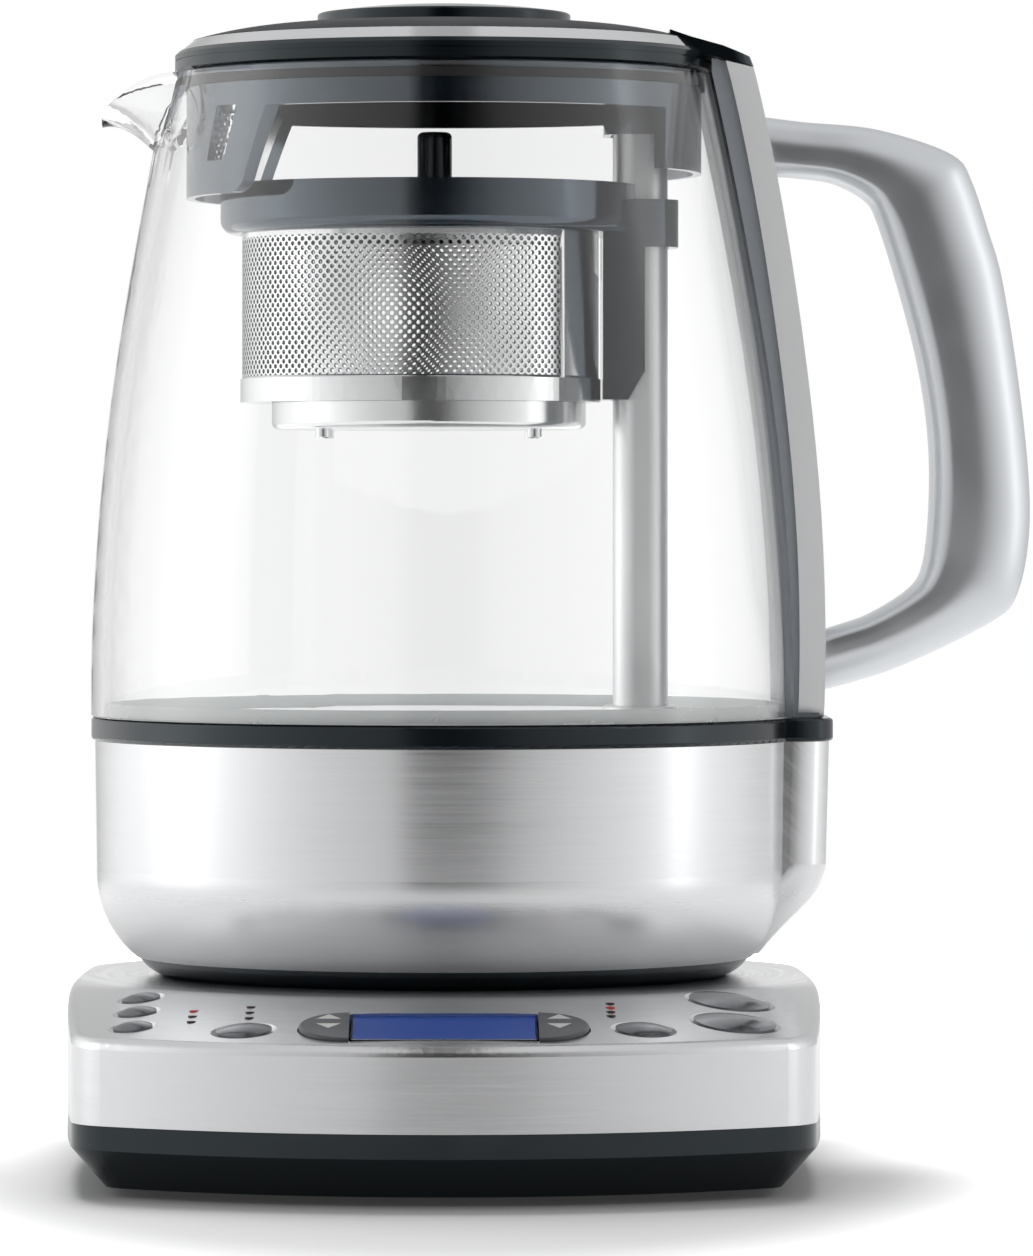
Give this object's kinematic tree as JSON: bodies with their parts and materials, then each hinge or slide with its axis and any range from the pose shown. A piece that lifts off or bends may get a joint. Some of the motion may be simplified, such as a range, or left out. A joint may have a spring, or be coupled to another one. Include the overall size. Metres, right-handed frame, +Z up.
{
  "type": "automatic tea maker",
  "caption": "Glass jug with a steel boiler housing, side handle and spout on a flat power base with a control panel; a motor lowers a tea basket along a post inside the jug.",
  "frame": {"origin": "where the jug's axis meets the table, midway between the sides of the power base", "axes": "+X from the jug's axis to the handle, -Y to the person at the control panel, +Z up"},
  "size_m": [0.2022, 0.2205, 0.2444],
  "materials": {
    "brushed_steel": "vertical brushing",
    "black_plastic": "satin",
    "slate_plastic": "glossy, a little see-through",
    "handle_metal": "satin",
    "seal_clear": "clear silicone",
    "jug_glass": "clear",
    "seal_rubber": "matt",
    "post_steel": "satin",
    "strainer_steel": "perforated",
    "screw_steel": "plated",
    "contact_brass": "bright",
    "circuit_board": "lacquered",
    "switch_plastic": "matt",
    "cap_steel": "dark polished",
    "pad_grey": "satin",
    "display_glass": "clear",
    "display_blue": "backlit",
    "lamp_red": "lit",
    "lamp_dark": "unlit",
    "element_steel": "dull",
    "motor_steel": "plated can",
    "belt_rubber": "matt",
    "pulley_plastic": "matt",
    "magnet_nickel": "plated"
  },
  "bodies": {
    "power_base": {"base_cover": "brushed_steel", "base_tray": "black_plastic", "base_feet": "seal_rubber", "base_screws": "screw_steel", "connector_post": "black_plastic", "contact_rings": "contact_brass", "cord_gland": "seal_rubber", "control_board": "circuit_board", "tact_switches": "switch_plastic", "panel_frame": "black_plastic", "display_window": "display_glass", "display_module": "display_blue", "lit_lamps": "lamp_red", "dark_lamps": "lamp_dark"},
    "preset_button_1": {"preset_button_1": "cap_steel"},
    "preset_button_2": {"preset_button_2": "cap_steel"},
    "preset_button_3": {"preset_button_3": "cap_steel"},
    "leaf_button": {"leaf_button": "cap_steel"},
    "strength_button": {"strength_button": "cap_steel"},
    "water_button": {"water_button": "cap_steel"},
    "brew_button": {"brew_button": "cap_steel"},
    "left_rocker": {"left_rocker": "pad_grey"},
    "right_rocker": {"right_rocker": "pad_grey"},
    "jug": {"jug_housing": "brushed_steel", "trim_ring": "black_plastic", "glass_jug": "jug_glass", "glass_seal": "seal_clear", "heating_plate": "post_steel", "heating_element": "element_steel", "temperature_sensor": "element_steel", "jug_foot": "black_plastic", "jug_socket": "black_plastic", "jug_screws": "screw_steel", "column_cover": "brushed_steel", "column_spine": "slate_plastic", "handle": "handle_metal", "lift_post": "post_steel", "post_foot": "post_steel", "post_seal": "seal_rubber", "lift_belt": "belt_rubber", "idler_axle": "screw_steel", "lift_motor": "motor_steel", "motor_bracket": "element_steel"},
    "drive_pulley": {"drive_pulley": "pulley_plastic"},
    "idler_pulley": {"idler_pulley": "pulley_plastic"},
    "carriage": {"carriage": "pulley_plastic", "carriage_magnet": "magnet_nickel"},
    "lid": {"lid_rim": "black_plastic", "lid_trim_band": "brushed_steel", "lid_dome": "slate_plastic", "lid_knob": "black_plastic", "lid_skirt": "slate_plastic", "spout_filter": "strainer_steel", "lid_seal": "seal_rubber"},
    "basket": {"basket_collar": "slate_plastic", "basket_magnet": "magnet_nickel", "strainer_wall": "strainer_steel", "strainer_ring": "strainer_steel", "strainer_base": "strainer_steel"},
    "basket_lid": {"basket_cover": "slate_plastic"}
  },
  "joints": [
    {"name": "jug_lift", "type": "slide", "parent": "power_base", "child": "jug", "axis": [0, 0, 1], "range_m": [0, 0.08]},
    {"name": "lid_lift", "type": "slide", "parent": "jug", "child": "lid", "axis": [0, 0, 1], "range_m": [0, 0.06]},
    {"name": "basket_travel", "type": "slide", "parent": "jug", "child": "basket", "axis": [0, 0, 1], "range_m": [-0.055, 0]},
    {"name": "cover_lift", "type": "slide", "parent": "basket", "child": "basket_lid", "axis": [0, 0, 1], "range_m": [0, 0.01]},
    {"name": "carriage_slide", "type": "slide", "parent": "jug", "child": "carriage", "axis": [0, 0, 1], "range_m": [-0.055, 0]},
    {"name": "drive_spin", "type": "hinge", "parent": "jug", "child": "drive_pulley", "pos_m": [0.0416, 0, 0.0755], "axis": [1, 0, 0], "range_deg": [-720, 5]},
    {"name": "idler_spin", "type": "hinge", "parent": "jug", "child": "idler_pulley", "pos_m": [0.0416, 0, 0.2095], "axis": [1, 0, 0], "range_deg": [-720, 5]},
    {"name": "preset_press_1", "type": "slide", "parent": "power_base", "child": "preset_button_1", "axis": [0.1211, 0.1244, -0.9848], "range_m": [0, 0.0012], "stiffness_N_per_m": 400, "springref_m": -0.0008},
    {"name": "preset_press_2", "type": "slide", "parent": "power_base", "child": "preset_button_2", "axis": [0.1085, 0.1356, -0.9848], "range_m": [0, 0.0012], "stiffness_N_per_m": 400, "springref_m": -0.0008},
    {"name": "preset_press_3", "type": "slide", "parent": "power_base", "child": "preset_button_3", "axis": [0.0975, 0.1437, -0.9848], "range_m": [0, 0.0012], "stiffness_N_per_m": 400, "springref_m": -0.0008},
    {"name": "leaf_press", "type": "slide", "parent": "power_base", "child": "leaf_button", "axis": [0.0626, 0.162, -0.9848], "range_m": [0, 0.0012], "stiffness_N_per_m": 400, "springref_m": -0.0008},
    {"name": "strength_press", "type": "slide", "parent": "power_base", "child": "strength_button", "axis": [-0.0628, 0.1619, -0.9848], "range_m": [0, 0.0012], "stiffness_N_per_m": 400, "springref_m": -0.0008},
    {"name": "water_press", "type": "slide", "parent": "power_base", "child": "water_button", "axis": [-0.1118, 0.1329, -0.9848], "range_m": [0, 0.0012], "stiffness_N_per_m": 400, "springref_m": -0.0008},
    {"name": "brew_press", "type": "slide", "parent": "power_base", "child": "brew_button", "axis": [-0.0947, 0.1455, -0.9848], "range_m": [0, 0.0012], "stiffness_N_per_m": 400, "springref_m": -0.0008},
    {"name": "left_rock", "type": "hinge", "parent": "power_base", "child": "left_rocker", "pos_m": [0, -0.10434, 0.03183], "axis": [1, 0, 0], "range_deg": [-3, 3], "stiffness_Nm_per_rad": 0.3},
    {"name": "right_rock", "type": "hinge", "parent": "power_base", "child": "right_rocker", "pos_m": [0, -0.10434, 0.03183], "axis": [1, 0, 0], "range_deg": [-3, 3], "stiffness_Nm_per_rad": 0.3}
  ],
  "couplings": [
    {"joint": "carriage_slide", "follows": "basket_travel", "ratio": 1},
    {"joint": "drive_spin", "follows": "basket_travel", "rad_per_m": 227.27},
    {"joint": "idler_spin", "follows": "basket_travel", "rad_per_m": 227.27}
  ]
}
